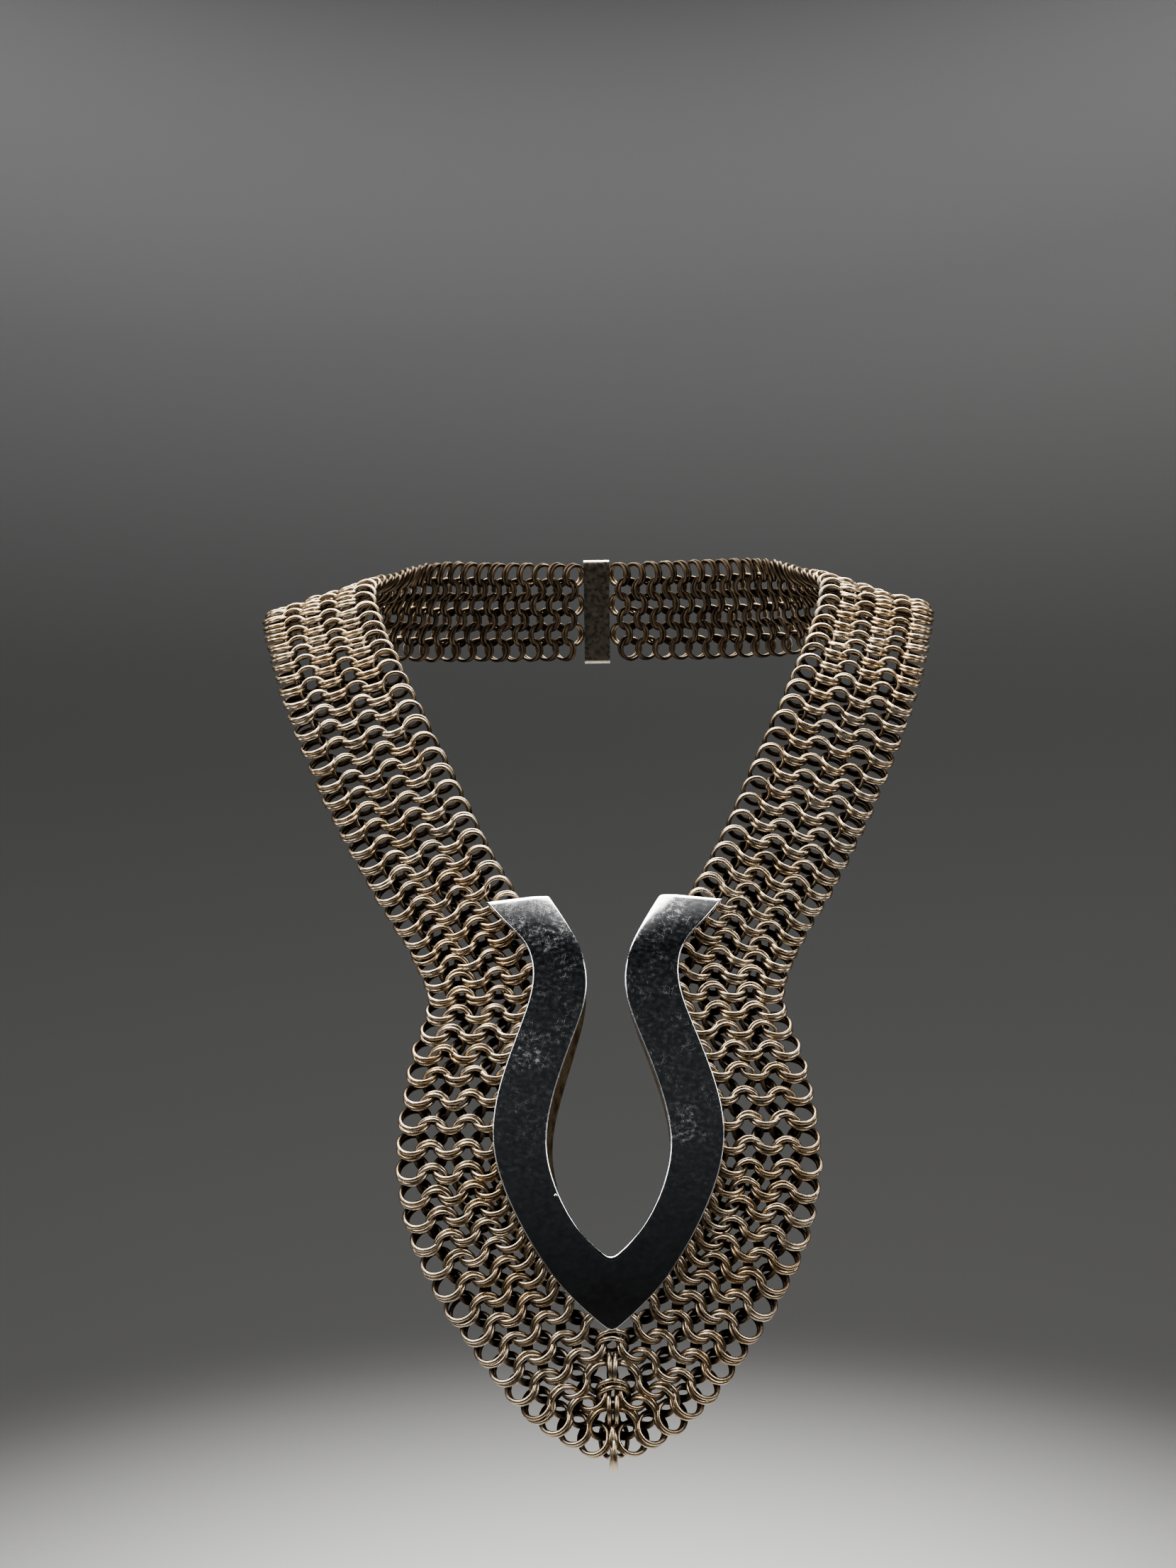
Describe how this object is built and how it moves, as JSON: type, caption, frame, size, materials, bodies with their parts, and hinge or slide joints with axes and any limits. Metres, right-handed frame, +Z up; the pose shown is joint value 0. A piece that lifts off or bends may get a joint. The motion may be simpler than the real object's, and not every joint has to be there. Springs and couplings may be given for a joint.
{
  "type": "mesh necklace",
  "caption": "Wide collar necklace of linked wire-ring mesh, parted over the shoulders and joined in a point at the bib, with an open polished plate pendant in front",
  "frame": {"origin": "midway between the two straps where they ride highest, level with their undersides there", "axes": "+Z up, +X to the right as seen from the front, -Y forward, out of the wearer's chest"},
  "size_m": [0.2142, 0.1986, 0.2474],
  "materials": {
    "ring_wire": "bright warm-white wire, dark patina between the rings",
    "polished_plate": "mirror polish with fine scratches",
    "clasp_metal": "satin"
  },
  "bodies": {
    "root": {"mesh_right": "ring_wire", "mesh_left": "ring_wire", "pendant": "polished_plate", "clasp": "clasp_metal"}
  },
  "joints": []
}
